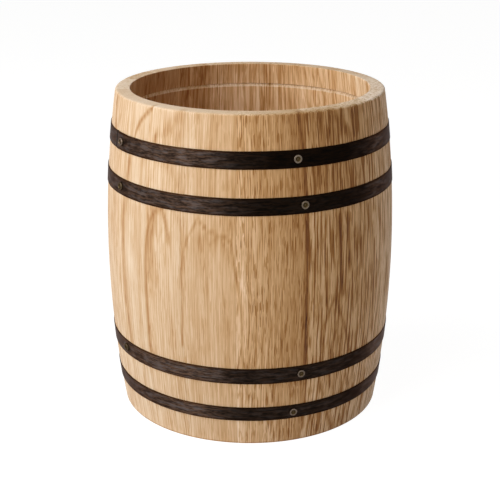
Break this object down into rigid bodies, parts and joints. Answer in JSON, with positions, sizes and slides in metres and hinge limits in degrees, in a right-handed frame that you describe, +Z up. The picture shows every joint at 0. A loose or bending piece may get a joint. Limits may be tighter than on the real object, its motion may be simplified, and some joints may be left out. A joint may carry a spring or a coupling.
{
  "type": "oak aging barrel",
  "caption": "Small upright oak barrel, open at the top, with bulged staves held by riveted dark steel hoops and a boarded bottom head.",
  "frame": {"origin": "middle of the base, on the surface that the barrel stands on", "axes": "+Z up along the barrel's axis, -Y the side that faces the picture's camera, +X to the right as seen from there"},
  "size_m": [0.2231, 0.2232, 0.25],
  "materials": {
    "stave_oak": "bare planed oak, matt",
    "head_oak": "bare planed oak, matt",
    "dowel_wood": "bare wood, matt",
    "hoop_steel": "blackened, satin",
    "rivet_brass": "aged, satin"
  },
  "bodies": {
    "root": {"stave_01": "stave_oak", "stave_02": "stave_oak", "stave_03": "stave_oak", "stave_04": "stave_oak", "stave_05": "stave_oak", "stave_06": "stave_oak", "stave_07": "stave_oak", "stave_08": "stave_oak", "stave_09": "stave_oak", "stave_10": "stave_oak", "stave_11": "stave_oak", "stave_12": "stave_oak", "stave_13": "stave_oak", "stave_14": "stave_oak", "stave_15": "stave_oak", "stave_16": "stave_oak", "stave_17": "stave_oak", "stave_18": "stave_oak", "head_board_1": "head_oak", "head_board_2": "head_oak", "head_board_3": "head_oak", "head_board_4": "head_oak", "head_board_5": "head_oak", "head_dowel_1": "dowel_wood", "head_dowel_2": "dowel_wood", "head_dowel_3": "dowel_wood", "head_dowel_4": "dowel_wood", "head_dowel_5": "dowel_wood", "head_dowel_6": "dowel_wood", "head_dowel_7": "dowel_wood", "head_dowel_8": "dowel_wood", "top_head_hoop": "hoop_steel", "top_bilge_hoop": "hoop_steel", "base_bilge_hoop": "hoop_steel", "base_head_hoop": "hoop_steel", "top_head_hoop_rivet_1": "rivet_brass", "top_head_hoop_rivet_2": "rivet_brass", "top_head_hoop_rivet_3": "rivet_brass", "top_head_hoop_rivet_4": "rivet_brass", "top_bilge_hoop_rivet_1": "rivet_brass", "top_bilge_hoop_rivet_2": "rivet_brass", "top_bilge_hoop_rivet_3": "rivet_brass", "top_bilge_hoop_rivet_4": "rivet_brass", "base_bilge_hoop_rivet_1": "rivet_brass", "base_bilge_hoop_rivet_2": "rivet_brass", "base_bilge_hoop_rivet_3": "rivet_brass", "base_bilge_hoop_rivet_4": "rivet_brass", "base_head_hoop_rivet_1": "rivet_brass", "base_head_hoop_rivet_2": "rivet_brass", "base_head_hoop_rivet_3": "rivet_brass", "base_head_hoop_rivet_4": "rivet_brass"}
  },
  "joints": []
}
